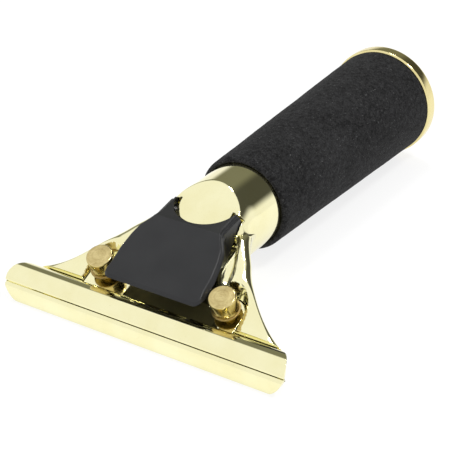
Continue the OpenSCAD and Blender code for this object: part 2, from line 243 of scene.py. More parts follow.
def join(*vfs):
    """several closed solids that may overlap, as one object by union"""
    obs = [tmp(v) for v in vfs]
    first = obs[0]
    for o in obs[1:]:
        cut(first, o, "UNION")
    return first


def plate_xf(s):
    """stud frame in outline mm: standing on the clamping plate"""
    return Matrix.Translation((s * stud_x, plate_y, plate_z)) @ Matrix.Rotation(rad(tilt), 4, "X")


AXIS = Matrix.Translation((0, head_y, head_z0)) @ Matrix.Rotation(rad(-90 - axis_drop), 4, "X") @ Matrix.Translation((0, 0, -head_y))


# ------------------------------------------------------------------ head surface
def c01(t):
    return np.clip(t, 0, 1)


def ss(t):
    t = c01(t)
    return t * t * (3 - 2 * t)


def mix(a, b, t):
    return a + (b - a) * t


def half_w(y):
    return 14.5 + 28.46 * np.exp((12 - y) / 13.87) * (1 - ss((y - 29) / 19))


def facet(y):
    """sloping front of the neck"""
    return 36.6 - 0.66 * (47.5 - y) - 6 * np.maximum(0, (34 - y) / 4) ** 2.2


def smin(a, b, k):
    h = c01(0.5 + 0.5 * (b - a) / k)
    return mix(b, a, h) - k * h * (1 - h)


def smax(a, b, k):
    return -smin(-a, -b, k)


def neck_half(y):
    """half width of the neck; it ends forwards in a round nose"""
    nose = np.sqrt(np.maximum(0.01, 1 - np.maximum(0, (40 - y) / 11.5) ** 2))
    return (14.5 - 0.7 * c01((52 - y) / 20) ** 2) * nose


def keel_half(y):
    return 14.5 - 3 * c01((52 - y) / 24.4) ** 2


def edge_x(y):
    return np.interp(y, [26, 30.4, 32.5, 36.5], [16.0, 15.0, 14.4, 12.5])


def tray(y, x):
    """distance outside the tray that holds the plate, its lobes and the lever"""
    xc = np.interp(y, [22.6, 25.1, 27.1, 31.1, 34.5, 37.3, 38.6, 41.0], [18.8, 18.3, 17.4, 15.6, 14.2, 13.2, 12.2, 8.0])
    lobe = 2 * (np.hypot(x - stud_x, y - plate_y) - lobe_r - 0.35)
    front = 2 * np.maximum(x - stud_x - lobe_r - 0.35, y - plate_y)
    return np.minimum(np.minimum(x - xc, lobe), front)


def keel(y):
    return mix(axis_z(y) - 14.5, 3.4, c01((loft_y1 - y) / (loft_y1 - fan_y0)) ** 1.4)


def slab_on(y):
    return 1 - ss((y - 35) / 13)


def head_z(y, x, up):
    w = half_w(y)
    s = np.minimum(1, abs(x) / w)
    q = slab_on(y)
    tp = fan_t / 2 * q
    z0 = mix(axis_z(y), plate_top(y) - fan_low - fan_t / 2, q)
    e = np.maximum(0, 1 - s ** (w / (3 if up else 2))) ** 0.5
    if up:
        ax_ = abs(x)
        rim = (1.48 + 4.46 * ss((y - 11) / 13)) * q * ss(tray(y, ax_) / 1.6 + 0.2)
        base = z0 + tp * e + rim - 0.12 * q * c01((ax_ - 12.2) / 3) * (1 - ss((y - 37) / 3)) * ss((y - 21) / 4)
        rise = np.maximum(0, axis_z(y) + 14.5 - z0 - tp) * np.sqrt(np.maximum(0, 1 - (ax_ / mix(w, neck_half(y), q)) ** 2))
        rise = np.maximum(0, smin(rise, facet(y) - x * x / 120 - z0 - tp, 0.5))
        k = 0.001 + (1.2 + 1.2 * ss((y - 34) / 5)) * ss(1.6 * q)
        return smax(base, z0 + tp * e + rise - k * (1 - ss(rise / k)), k)
    zc = z0 + 0.8 * ss((y - 14) / 10) * q * ss((s - 0.5) / 0.4)
    t = np.minimum(1, abs(x) / mix(w, keel_half(y), q))
    return zc - tp * e - np.maximum(0, z0 - tp - keel(y)) * np.maximum(0, 1 - t * t) ** mix(0.5, 0.9, q)


def head_solid():
    ys = np.concatenate([np.arange(11.2, 21.1, 0.4), np.arange(21.1, 24.3, 0.2), np.arange(24.3, 28.9, 0.3), np.arange(28.9, 32.5, 0.15), np.arange(32.5, 52.0, 0.3), np.arange(52.0, 66.1, 1.0)])
    ys[-1] = 66.0
    n = 210
    a = np.pi * np.arange(n) / n
    vs = []
    for y in ys:
        w = float(half_w(y))
        xt = w * np.cos(a)
        vs += [(x, y, z) for x, z in zip(xt, head_z(y, xt, True))]
        vs += [(x, y, z) for x, z in zip(-xt, head_z(y, -xt, False))]
    m, k = 2 * n, len(ys)
    fs = [tuple(range(m - 1, -1, -1)), tuple((k - 1) * m + i for i in range(m))]
    for j in range(k - 1):
        for i in range(m):
            p, q = j * m + i, j * m + (i + 1) % m
            fs.append((p, q, q + m, p + m))
    return vs, fs


EDGE = [(16.0, 26.0), (15.0, 30.4), (14.4, 32.5), (12.5, 36.5)]


def outline_solid(g):
    half = [(16.0, 10.3)] + EDGE + [(12.5, 45.0)]
    pts = [(x + g, y) for x, y in half] + [(-x - g, y) for x, y in reversed(half)]
    ob = join(prism(pts, -2, 58, "z"),
              cyl_z(stud_x, plate_y, lobe_r + g, -2.1, 58.1), cyl_z(-stud_x, plate_y, lobe_r + g, -2.2, 58.2),
              box(stud_x - lobe_r - g - 2, stud_x + lobe_r + g - 0.004, 10.29, plate_y + g, -2.3, 58.3),
              box(-stud_x - lobe_r - g, -stud_x + lobe_r + g + 1.996, 10.28, plate_y + g, -2.4, 58.4))
    return ob


def fork(r):
    return join(cyl_z(0, 36, r, -3, 59), box(-r, r, 36, 48, -3.1, 59.1))


def slab(y0, y1, h0, h1, x0=-60, x1=60):
    return prism([(y0, seat(y0) + h0), (y1, seat(y1) + h0), (y1, seat(y1) + h1), (y0, seat(y0) + h1)], x0, x1, "x")


def make_head():
    head = tmp(head_solid())
    pocket = outline_solid(0.35)
    cut(pocket, tmp(slab(10, 38.2, 0, 40)), "INTERSECT")
    cut(pocket, fork(leg_in - 0.35))
    cut(head, pocket)
    slots = outline_solid(0.35)
    cut(slots, tmp(slab(38.1, 43.9, 0, 2.6)), "INTERSECT")
    cut(slots, fork(leg_in - 0.35))
    cut(head, slots)
    for s in (-1, 1):
        x0, x1 = sorted((s * (leg_in - 0.35), s * (leg_out + 0.35)))
        cut(head, tmp(rod_x(jaw_y, jaw_z, 2.75, x0, x1)))
        x0, x1 = sorted((s * 10.2, s * 12.85))
        cut(head, tmp(rod_x(lev_y, lev_z, 4.25, x0, x1)))
        x0, x1 = sorted((s * 9.3, s * 10.25))
        cut(head, tmp(rod_x(lev_y, lev_z, 4.6, x0, x1)))
        m = plate_xf(s)
        cut(head, tmp(cyl_z(0, 0, shank_r + 0.05, -12, 0), m))
        cut(head, tmp(cyl_z(0, 0, 3.5, -seat_t - spring_room, 3.6), m))
        cut(head, tmp(cyl_z(0, 0, 4.3, under_z - 8, under_z), m))
    cut(head, tmp(rod_x(lev_y, lev_z, pin_r, -20, 20)))
    cut(head, tmp(rod_x(jaw_y, jaw_z, pin_r, -14, 14)))
    cut(head, tmp(lathe([(0, 44.6), (9, 44.6), (9, 52), (tube_r, 52), (tube_r, 72), (0, 72)]), AXIS))
    cut(head, tmp(rod_x(63, axis_z(63), 1.5, -20, 20)))
    return head


# ------------------------------------------------------------------ jaws
c0, c1 = 1.8, 1.8 + cavity
bar_c, bar_r = (6.0, 5.7), jaw_h - 5.7


def bar_limits():
    return prism(rounded([(-jaw_len / 2, -0.5, corner_low + 0.5), (jaw_len / 2, -0.5, corner_low + 0.5),
                          (jaw_len / 2, jaw_h + 1, r_top), (-jaw_len / 2, jaw_h + 1, r_top)], 28), -5, 55, "y")


def bar_plan():
    return prism(rounded([(-jaw_len / 2 - 0.15, -3, 0), (jaw_len / 2 + 0.15, -3, 0),
                          (jaw_len / 2 + 0.15, fan_y0 + 0.15, corner_rear), (-jaw_len / 2 - 0.15, fan_y0 + 0.15, corner_rear)], 40), -1, 59, "z")


def make_lower():
    sec = rounded([(0, 0, 1.4), (fan_y0, 0, 2.6), (fan_y0, seat(fan_y0), 0), (c1, seat(c1), 0),
                   (c1, 1.5, 1), (c0, 1.5, 1), (c0, 6.55, 0), (0.9, 6.55, 0.2), (0, 5.75, 0.75)], 12)
    ob = tmp(prism(sec, -jaw_len, jaw_len, "x"))
    cut(ob, tmp(bar_limits()), "INTERSECT")
    cut(ob, tmp(bar_plan()), "INTERSECT")
    return ob


def above_patch(xs, ys, zf):
    """a closed solid between a height field and a plane above it"""
    if xs[0] > xs[-1]:
        xs = xs[::-1]
    n, m = len(xs), len(ys)
    vs = [(x, y, zf(x, y)) for y in ys for x in xs] + [(x, y, 60.0) for y in ys for x in xs]
    fs = []
    for j in range(m - 1):
        for i in range(n - 1):
            a_ = j * n + i
            fs.append((a_, a_ + n, a_ + n + 1, a_ + 1))
            c_ = a_ + n * m
            fs.append((c_, c_ + 1, c_ + n + 1, c_ + n))
    rim = list(range(n)) + [j * n + n - 1 for j in range(1, m)] + [(m - 1) * n + i for i in range(n - 2, -1, -1)] + [j * n for j in range(m - 2, 0, -1)]
    for i in range(len(rim)):
        a_, c_ = rim[i], rim[(i + 1) % len(rim)]
        fs.append((a_, c_, c_ + n * m, a_ + n * m))
    return vs, fs


def make_upper():
    sec = [(2.12, 7.05)] + arc(bar_c, bar_r, 165.5, 36, 72) + [(10.75, 8.79), (11.1, seat(11.1) + 0.12), (c1, seat(c1) + 0.12)] + arc(bar_c, bar_r - 1.3, 16, 159.5, 48)
    ob = tmp(prism(sec, -jaw_len, jaw_len, "x"))
    cut(ob, tmp(bar_limits()), "INTERSECT")
    cut(ob, tmp(bar_plan()), "INTERSECT")
    plate = outline_solid(0)
    g = gap / ct
    cut(plate, tmp(prism([(10.35, seat(10.35) + g), (41, seat(41) + g), (41, plate_top(41)), (10.35, plate_top(10.35))], -60, 60, "x")), "INTERSECT")
    cut(ob, plate, "UNION")
    for s in (-1, 1):
        x0, x1 = sorted((s * leg_in, s * leg_out))
        cut(ob, tmp(rod_x(jaw_y, jaw_z, 2.35, x0, x1)), "UNION")
    cut(ob, fork(leg_in))
    cut(ob, tmp(rod_x(jaw_y, jaw_z, pin_r + 0.05, -20, 20)))
    for s in (-1, 1):
        # the legs fall away towards their outer edges
        cut(ob, tmp(above_patch(np.linspace(12.0, 16.6, 12) * s, np.linspace(21.5, 37.6, 34),
                                lambda x, y: plate_top(y) - 0.27 * max(0, abs(x) - 12.2) * float(ss((y - 22) / 5)) + 0.0008)))
        cut(ob, tmp(cyl_z(0, 0, shank_r + 0.45, -3, 3), plate_xf(s)))
    return ob


# ------------------------------------------------------------------ release lever
def lever_top(y):
    return 16.6 + (29.2 - 16.6) / (28.45 - 6.9) * (y - 6.9) if y < 28.45 else 29.2 + 2.0 / 10.95 * (y - 28.45)


PLAN = [(17.2, 7.35, 2.4), (17.75, 10, 4), (17.75, 16.5, 6), (16.9, 21.4, 8), (15.8, 24.9, 6), (13.2, 28.6, 4), (12.5, 31, 3), (12.35, 41, 0.3)]
BODY = [(15.9, 9.0, 2), (16.4, 11, 4), (16.4, 16.5, 6), (15.6, 21.2, 8), (14.5, 24.6, 6), (12.75, 28.2, 4), (12.5, 31, 3), (12.5, 41, 0.3)]
UNDER = [(39.5, 29.8, 1.1), (39.3, 26.9, 1.2), (37.5, 25.4, 1), (34.9, 22.9, 2), (32.6, 20.1, 1.5), (31.4, 17.92, 0.4), (29.5, 17.1, 0.4), (27.2, 18.5, 3), (23.4, 20.1, 4), (19.0, 18.9, 4), (13.5, 17.3, 5), (9.4, 16.0, 1.5)]


def half_outline(plan):
    """right half of a plan outline from front to rear, finely stepped"""
    m = plan + [(-a, b, c) for a, b, c in reversed(plan)]
    pts = resample(rounded(m, 12), 0.5)
    k = [p for p in pts if p[0] > 0.0]
    i0 = min(range(len(k)), key=lambda i: (round(k[i][1], 4), k[i][0]))
    k = k[i0:] + k[:i0]
    return [p for p in k if p[1] < 40.9]


def lever_skin():
    """top plate of the lever: a thin shell with a full round along its rim"""
    h = np.array(half_outline(PLAN))
    h = np.vstack([h, [h[-1][0], 41.0]])
    t = np.gradient(h, axis=0)
    t /= np.linalg.norm(t, axis=1)[:, None]
    nrm = np.stack([t[:, 1], -t[:, 0]], 1)
    nrm[-1] = (1, 0)
    rings = [(1.62, 0.0), (1.38, 0.02), (1.17, 0.09), (1.00, 0.21), (0.87, 0.37), (0.78, 0.56), (0.45, 1.30), (0.18, 1.75), (0.04, 1.92), (0.0, 2.05), (0.06, 2.15), (0.3, 2.25)]
    vs, rows = [], []
    # the rim is thinner along the front lip
    thin = 0.42 + 0.58 * ss((h[:, 1] - 8.2) / 4.0)
    for o, d in rings:
        p = h - nrm * (o * thin)[:, None]
        p[:, 0] = np.maximum(p[:, 0], 0.02)
        row = []
        for (x, y), k_ in zip(p, thin):
            row.append(len(vs))
            vs.append((x, y, lever_top(y) - d * k_))
        for (x, y), k_ in zip(p[::-1], thin[::-1]):
            row.append(len(vs))
            vs.append((-x, y, lever_top(y) - d * k_))
        rows.append(row)
    fs = []
    m = len(rows[0])
    for a_, b__ in zip(rows[:-1], rows[1:]):
        for i in range(m):
            j = (i + 1) % m
            fs.append((a_[i], b__[i], b__[j], a_[j]))
    for row, flip in ((rows[0], False), (rows[-1], True)):
        for i in range(m // 2 - 1):
            q = (row[i], row[i + 1], row[m - 2 - i], row[m - 1 - i])
            fs.append(q if not flip else q[::-1])
    return vs, fs


def body_solid(g, y0):
    p = [(a - g, b, c) for a, b, c in BODY]
    ob = tmp(prism(rounded(p + [(-a, b, c) for a, b, c in reversed(p)], 12), 0, 60, "z"))
    if y0:
        cut(ob, tmp(box(-20, 20, y0, 50, -1, 61)), "INTERSECT")
    return ob


def make_lever():
    w = lever_wall
    ob = tmp(prism(rounded([(8.0, 15.6, 0), (8.0, lever_top(8.0) - 1.0, 0), (28.45, lever_top(28.45) - 1.0, 0), (38.3, lever_top(38.3) - 1.0, 0.8)] + UNDER, 10), -20, 20, "x"))
    cut(ob, body_solid(0, 0), "INTERSECT")
    hollow = body_solid(w, 17.5)
    cut(hollow, tmp(prism([(0, 0), (40, 0), (40, 22), (34.5, lever_top(34.5) - w), (28.45, lever_top(28.45) - w), (6.9, lever_top(6.9) - w), (0, 10.8)], -20, 20, "x")), "INTERSECT")
    cut(ob, hollow)
    skin = tmp(lever_skin())
    cut(skin, tmp(prism(rounded([(6, 10, 0), (6, 40, 0), (38.5, 40, 0), (38.5, 31.2, 0.9), (39.5, 29.8, 1.1), (39.3, 26.9, 1.2), (38, 10, 0)], 10), -20, 20, "x")), "INTERSECT")
    cut(ob, skin, "UNION")
    for s in (-1, 1):
        cut(ob, tmp(prism([(17.0, lever_top(17.0) - w), (19, plate_top(19) + 0.06), (25.5, plate_top(25.5) + 0.06), (27.2, lever_top(27.2) - w)], s * 7.6 - 0.8, s * 7.6 + 0.8, "x")), "UNION")
    cut(ob, tmp(prism([(21.5, 19.9), (22.9, 20.4), (22.9, lever_top(22.9) - w / 2), (21.5, lever_top(21.5) - w / 2)], -14.6, 14.6, "x")), "UNION")
    n = 128
    cut(ob, tmp(prism([(1.045 * 10.4 * math.cos(2 * math.pi * i / n), 40 + 10.4 * math.sin(2 * math.pi * i / n)) for i in range(n)], 10, 40, "z")))
    cut(ob, tmp(box(-10.865, 10.865, 40, 44, 10, 40)))
    cut(ob, tmp(box(-10.7, 10.7, 33, 45, 10, lever_top(33) - 1.6)))
    cut(ob, tmp(rod_x(lev_y, lev_z, pin_r + 0.05, -11.8, 11.8)))
    return ob


def done(ob, name, mat, body, nodes, sharp=32.0):
    """names a scratch solid drawn in outline mm and hands it to the frame"""
    scaled(ob)
    ob.name = name
    ob.data.name = name
    bm = bmesh.new()
    bm.from_mesh(ob.data)
    bmesh.ops.remove_doubles(bm, verts=bm.verts, dist=2e-6)
    bmesh.ops.dissolve_degenerate(bm, edges=bm.edges, dist=1e-6)
    bm.to_mesh(ob.data)
    bm.free()
    smooth(ob, sharp)
    ob.data.materials.clear()
    ob.data.materials.append(mat)
    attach(ob, body)
    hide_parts(*nodes)
    return ob


def turned_piece(name, prof, xf, mat, body, nodes, n=192, sharp=32.0, close=False):
    """a lathe piece with its own origin on its axis; the outline is in mm, the axis is local Z"""
    vs, fs = lathe(prof, n, close)
    ob = put(name, np.asarray(vs) / 1000.0, fs, mat, sharp, local=True)
    m = Matrix.Scale(0.001, 4) @ Matrix.Translation((0, -SHIFT, 0)) @ xf
    loc, rot, _ = m.decompose()
    ob.matrix_world = Matrix.Translation(loc) @ rot.to_matrix().to_4x4()
    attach(ob, body)
    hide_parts(*nodes)
    return ob


# ------------------------------------------------------------------ materials
class Nodes:
    def __init__(self, name):
        self.mat = bpy.data.materials.new(name)
        self.mat.use_nodes = True
        self.t = self.mat.node_tree
        self.p = self.t.nodes["Principled BSDF"]

    def add(self, kind, **kw):
        n = self.t.nodes.new(kind)
        for k, v in kw.items():
            if k.startswith("in_"):
                n.inputs[k[3:].replace("_", " ")].default_value = v
            else:
                setattr(n, k, v)
        return n

    def link(self, a, b):
        self.t.links.new(a, b)

    def coord(self, kind="Object", scale=(1, 1, 1)):
        c = self.add("ShaderNodeTexCoord")
        m = self.add("ShaderNodeMapping")
        m.inputs["Scale"].default_value = scale
        self.link(c.outputs[kind], m.inputs["Vector"])
        return m.outputs["Vector"]

    def noise(self, vec, scale, detail=3.0, rough=0.5, dist=0.0):
        n = self.add("ShaderNodeTexNoise")
        n.inputs["Scale"].default_value = scale
        n.inputs["Detail"].default_value = detail
        n.inputs["Roughness"].default_value = rough
        n.inputs["Distortion"].default_value = dist
        self.link(vec, n.inputs["Vector"])
        return n.outputs["Fac"]

    def ramp(self, fac, stops):
        r = self.add("ShaderNodeValToRGB")
        e = r.color_ramp.elements
        while len(e) < len(stops):
            e.new(0.5)
        for el, (pos, col) in zip(e, stops):
            el.position = pos
            el.color = (*col, 1) if len(col) == 3 else col
        self.link(fac, r.inputs["Fac"])
        return r.outputs["Color"]

    def rng(self, fac, a0, a1, b0, b1):
        m = self.add("ShaderNodeMapRange")
        m.inputs["From Min"].default_value = a0
        m.inputs["From Max"].default_value = a1
        m.inputs["To Min"].default_value = b0
        m.inputs["To Max"].default_value = b1
        self.link(fac, m.inputs["Value"])
        return m.outputs["Result"]

    def math(self, op, a, b):
        m = self.add("ShaderNodeMath", operation=op)
        for i, v in enumerate((a, b)):
            if isinstance(v, (int, float)):
                m.inputs[i].default_value = v
            else:
                self.link(v, m.inputs[i])
        return m.outputs[0]

    def bump(self, height, strength, dist, normal=None):
        b = self.add("ShaderNodeBump")
        b.inputs["Strength"].default_value = strength
        b.inputs["Distance"].default_value = dist
        self.link(height, b.inputs["Height"])
        if normal is not None:
            self.link(normal, b.inputs["Normal"])
        return b.outputs["Normal"]

    def bevel(self, radius, samples=4):
        b = self.add("ShaderNodeBevel", samples=samples)
        b.inputs["Radius"].default_value = radius
        return b.outputs["Normal"]

    def out(self, **kw):
        for k, v in kw.items():
            s = self.p.inputs[k.replace("_", " ")]
            if isinstance(v, (int, float)):
                s.default_value = v
            elif isinstance(v, tuple):
                s.default_value = (*v, 1) if len(v) == 3 else v
            else:
                self.link(v, s)
        return self.mat


def mat_brass(name, base, dark, rough=0.07, edge=0.00025, wave=0.35):
    """polished casting: faint long-wave ripple, fine wipe marks, thin haze and a few specks"""
    m = Nodes(name)
    v = m.coord()
    tint = m.ramp(m.noise(v, 90, 4, 0.55), [(0.30, dark), (0.62, base)])
    specks = m.ramp(m.noise(v, 2200, 2, 0.6), [(0.70, (1, 1, 1)), (0.78, (0.62, 0.55, 0.38))])
    mx = m.add("ShaderNodeMix", data_type="RGBA", blend_type="MULTIPLY")
    mx.inputs[0].default_value = 0.5
    m.link(tint, mx.inputs[6])
    m.link(specks, mx.inputs[7])
    wipe = m.noise(m.coord(scale=(1, 0.12, 1)), 1400, 3, 0.6)
    haze = m.noise(v, 160, 3, 0.6)
    r = m.math("ADD", m.rng(wipe, 0.3, 0.75, rough * 0.7, rough * 1.5), m.rng(haze, 0.45, 0.75, 0.0, 0.05))
    nb = m.bump(m.noise(v, 55, 2, 0.4), wave, 0.0002, m.bevel(edge) if edge else None)
    nb = m.bump(wipe, 0.05, 0.00002, nb)
    return m.out(Base_Color=mx.outputs[2], Metallic=1.0, Roughness=r, Normal=nb)


def mat_turned(name, base, dark, rough=0.2, pitch=2600.0):
    """turned brass: fine rings about the piece's own Z axis, and a thin tarnish"""
    m = Nodes(name)
    c = m.add("ShaderNodeTexCoord")
    sep = m.add("ShaderNodeSeparateXYZ")
    m.link(c.outputs["Object"], sep.inputs[0])
    rr = m.math("SQRT", m.math("ADD", m.math("MULTIPLY", sep.outputs[0], sep.outputs[0]), m.math("MULTIPLY", sep.outputs[1], sep.outputs[1])), 0)
    cmb = m.add("ShaderNodeCombineXYZ")
    m.link(m.math("MULTIPLY", rr, 1.0), cmb.inputs[0])
    m.link(sep.outputs[2], cmb.inputs[2])
    rings = m.noise(cmb.outputs[0], pitch, 3, 0.65)
    patch = m.noise(m.coord(), 260, 4, 0.6)
    col = m.ramp(m.math("ADD", m.math("MULTIPLY", rings, 0.35), m.math("MULTIPLY", patch, 0.65)), [(0.34, dark), (0.60, base)])
    r = m.math("ADD", m.rng(rings, 0.3, 0.7, rough * 0.7, rough * 1.35), m.rng(patch, 0.4, 0.7, 0.0, 0.08))
    nb = m.bump(rings, 0.30, 0.00003, m.bevel(0.00015))
    return m.out(Base_Color=col, Metallic=1.0, Roughness=r, Normal=nb)


def mat_black(name):
    """satin moulded nylon: soft spark texture, slightly greyed, rubbed edges, and painted light that lightens the faces
    turned downwards
    """
    m = Nodes(name)
    v = m.coord()
    grain = m.noise(v, 5200, 3, 0.6)
    cloud = m.noise(v, 130, 3, 0.5)
    col = m.ramp(cloud, [(0.3, (0.009, 0.0094, 0.0105)), (0.7, (0.0125, 0.0129, 0.014))])
    r = m.math("ADD", m.rng(grain, 0.3, 0.7, 0.30, 0.39), m.rng(cloud, 0.3, 0.7, 0.0, 0.06))
    nb = m.bump(grain, 0.18, 0.00003, m.bevel(0.0002))
    nb = m.bump(m.noise(v, 240, 2, 0.4), 0.12, 0.00008, nb)
    # painted light: faces turned downwards are painted a lighter grey, standing in for fill light reaching the
    # underside
    tc_ = m.add("ShaderNodeTexCoord")
    sp_ = m.add("ShaderNodeSeparateXYZ")
    m.link(tc_.outputs["Normal"], sp_.inputs[0])
    painted_underside_light = m.rng(sp_.outputs[2], -0.35, -0.75, 0.0, 1.0)
    mx = m.add("ShaderNodeMix", data_type="RGBA")
    m.link(painted_underside_light, mx.inputs[0])
    m.link(col, mx.inputs[6])
    mx.inputs[7].default_value = (0.085, 0.085, 0.088, 1)
    return m.out(Base_Color=mx.outputs[2], Roughness=r, Normal=nb, Specular_IOR_Level=0.38)


def mat_foam(name):
    """closed-cell foam: fine skin cells, dull, with lighter specks of dust"""
    m = Nodes(name)
    v = m.coord()
    cells = m.add("ShaderNodeTexVoronoi", feature="SMOOTH_F1")
    cells.inputs["Scale"].default_value = 1500
    m.link(v, cells.inputs["Vector"])
    fine = m.noise(v, 1900, 4, 0.75)
    mid = m.noise(v, 700, 3, 0.6)
    broad = m.noise(v, 60, 3, 0.5)
    speck = m.ramp(m.noise(v, 1500, 2, 0.6), [(0.66, (0, 0, 0)), (0.76, (1, 1, 1))])
    f = m.math("ADD", m.math("MULTIPLY", fine, 0.55), m.math("ADD", m.math("MULTIPLY", mid, 0.30), m.math("MULTIPLY", broad, 0.15)))
    col = m.ramp(f, [(0.42, (0.0020, 0.0020, 0.0022)), (0.60, (0.030, 0.030, 0.031))])
    mx = m.add("ShaderNodeMix", data_type="RGBA", blend_type="ADD")
    mx.inputs[0].default_value = 0.10
    m.link(col, mx.inputs[6])
    m.link(speck, mx.inputs[7])
    h = m.math("ADD", m.math("MULTIPLY", cells.outputs["Distance"], 0.6), m.math("MULTIPLY", fine, 0.9))
    nb = m.bump(h, 0.8, 0.00025)
    nb = m.bump(broad, 0.25, 0.0006, nb)
    return m.out(Base_Color=mx.outputs[2], Roughness=0.85, Normal=nb, Specular_IOR_Level=0.14, Sheen_Weight=0.01, Sheen_Roughness=0.6)


def mat_steel(name):
    m = Nodes(name)
    v = m.coord(scale=(0.08, 1, 1))
    draw = m.noise(v, 3000, 3, 0.6)
    col = m.ramp(m.noise(m.coord(), 400, 3, 0.5), [(0.3, (0.42, 0.42, 0.42)), (0.7, (0.62, 0.61, 0.60))])
    return m.out(Base_Color=col, Metallic=1.0, Roughness=m.rng(draw, 0.3, 0.7, 0.22, 0.38), Normal=m.bump(draw, 0.2, 0.00003))


BRASS = mat_brass("brass_polished", (0.93, 0.89, 0.57), (0.89, 0.84, 0.50), 0.05)
COLLAR = mat_brass("brass_collar", (0.84, 0.74, 0.38), (0.76, 0.65, 0.30), 0.11)
TURNED = mat_turned("brass_turned", (0.72, 0.60, 0.29), (0.40, 0.30, 0.11), 0.18)
BLACK = mat_black("black_nylon")
FOAM = mat_foam("foam_black")
STEEL = mat_steel("steel_plain")
# painted shade: a real brass washer, given a darker copy of the turned brass whose tone stands in for the shade under
# the knob
WASHER_PAINTED_SHADE = mat_turned("brass_washer_painted_shade", (0.42, 0.31, 0.12), (0.28, 0.20, 0.07), 0.30)

# ------------------------------------------------------------------ pieces
head = done(make_head(), "head", BRASS, "head", ["head_casting"], 28)
lower = done(make_lower(), "jaw_lower", BRASS, "head", ["lower_jaw"], 22)
upper = done(make_upper(), "jaw_upper", BRASS, "jaw", ["upper_jaw"], 22)
lever = done(make_lever(), "lever", BLACK, "lever", ["release_lever"], 30)

for s, side in ((-1, "left"), (1, "right")):
    xf = plate_xf(s)
    prof = [(0, -8.7), (1.45, -8.7), (1.7, -8.62), (1.98, -8.3)]
    # thread roots from below the fan up to the nut's seat
    z = -8.2
    while z < -5.6:
        prof += [(2.0, z), (2.0, z + 0.12), (1.72, z + 0.35), (2.0, z + 0.58)]
        z += 0.7
    prof += [(2.0, -5.2), (2.0, knob_z), (3.6, knob_z), (3.95, knob_z + 0.05), (4.08, knob_z + 0.3),
             (3.98, knob_z + 0.7), (4.0, knob_z + 1.1), (knob_r, knob_z + knob_h - 1.0), (knob_r, knob_z + knob_h - 0.55)]
    prof += [(knob_r - 0.55 + 0.55 * math.cos(rad(a)), knob_z + knob_h - 0.55 + 0.55 * math.sin(rad(a))) for a in range(15, 91, 15)]
    prof += [(3.1, knob_z + knob_h + 0.08), (2.2, knob_z + knob_h + 0.22), (1.2, knob_z + knob_h + 0.33), (0.5, knob_z + knob_h + 0.37), (0.18, knob_z + knob_h + 0.30), (0, knob_z + knob_h + 0.26)]
    turned_piece("stud_" + side, prof, xf, TURNED, "head", [side + "_stud"], 128, 40)
    # painted shade: the washer's darker brass tone stands in for the shade under the knob
    turned_piece("stud_washer_" + side, [(2.02, knob_z - 0.6), (4.3, knob_z - 0.6), (4.52, knob_z - 0.52), (4.6, knob_z - 0.3), (4.52, knob_z - 0.08), (4.3, knob_z), (2.02, knob_z)],
                 xf, WASHER_PAINTED_SHADE, "head", [side + "_stud_washer"], 96, 50, close=True)
    # split lock washer: a ring with a slanting gap
    vs, fs = [], []
    k = 90
    for i in range(k + 1):
        a = rad(6 + 348 * i / k)
        dz = 0.10 * (i / k - 0.5)
        for r_, z_ in ((2.05, under_z - 0.75), (3.42, under_z - 0.75), (3.5, under_z - 0.66), (3.5, under_z - 0.14), (3.42, under_z - 0.05), (2.05, under_z - 0.05)):
            vs.append((r_ * math.cos(a), r_ * math.sin(a), z_ + dz * 0.5))
    for i in range(k):
        for j in range(6):
            p, q = i * 6 + j, i * 6 + (j + 1) % 6
            fs.append((p, q, q + 6, p + 6))
    fs += [tuple(range(5, -1, -1)), tuple(k * 6 + j for j in range(6))]
    ob = tmp((vs, fs), xf)
    done(ob, "lock_washer_" + side, STEEL, "head", [side + "_lock_washer"], 40)
    # hex nut, chamfered by a cone
    nut = tmp(prism([(4.0 * math.cos(rad(60 * i)), 4.0 * math.sin(rad(60 * i))) for i in range(6)], under_z - 3.2, under_z - 0.8, "z"))
    cut(nut, tmp(lathe([(0, under_z - 3.3), (3.3, under_z - 3.3), (4.3, under_z - 2.75), (4.3, under_z - 1.25), (3.3, under_z - 0.7), (0, under_z - 0.7)], 96)), "INTERSECT")
    cut(nut, tmp(cyl_z(0, 0, 2.02, under_z - 4, under_z)))
    nut.data.transform(xf)
    done(nut, "nut_" + side, TURNED, "head", [side + "_stud_nut"], 25)
    # spring
    sr, wr, turns = 2.78, 0.32, 2.75
    z0 = -seat_t - spring_room + wr
    h = spring_room - 2 * wr - 0.06
    vs, fs = [], []
    k, mm = 132, 12
    for i in range(k + 1):
        t = i / k
        a = 2 * math.pi * turns * t
        zc = z0 + h * min(1, max(0, (t - 0.16) / 0.68))
        for j in range(mm):
            b = 2 * math.pi * j / mm
            r_ = sr + wr * math.cos(b)
            vs.append((r_ * math.cos(a), r_ * math.sin(a), zc + wr * math.sin(b)))
    for i in range(k):
        for j in range(mm):
            p, q = i * mm + j, i * mm + (j + 1) % mm
            fs.append((p, q, q + mm, p + mm))
    fs += [tuple(range(mm - 1, -1, -1)), tuple(k * mm + j for j in range(mm))]
    done(tmp((vs, fs), xf), "jaw_spring_" + side, STEEL, "head", [side + "_jaw_spring"], 45)


def pin(name, y, z, r, half, mat, node):
    d = 0.25
    prof = [(0, -half), (r - d, -half), (r, -half + d), (r, half - d), (r - d, half), (0, half)]
    xf = Matrix.Translation((0, y, z)) @ Matrix.Rotation(rad(90), 4, "Y")
    return turned_piece(name, prof, xf, mat, "head", [node], 64, 30)


pin("pin_lever", lev_y, lev_z, pin_r, 11.7, STEEL, "lever_pin")
pin("pin_jaw", jaw_y, jaw_z, pin_r, 14.0, STEEL, "jaw_pin")
pin("rivet_tube", 63, axis_z(63), 1.5, 14.4, STEEL, "tube_rivet")

turned_piece("tube", [(10.8, 52), (13.2, 52), (13.5, 52.4), (13.5, 161.4), (13.3, 161.5), (12.3, 161.5), (12.0, 161.2), (12.0, 112.0), (10.8, 100.0)],
             AXIS, BRASS, "head", ["socket_tube"], 160, 30, close=True)


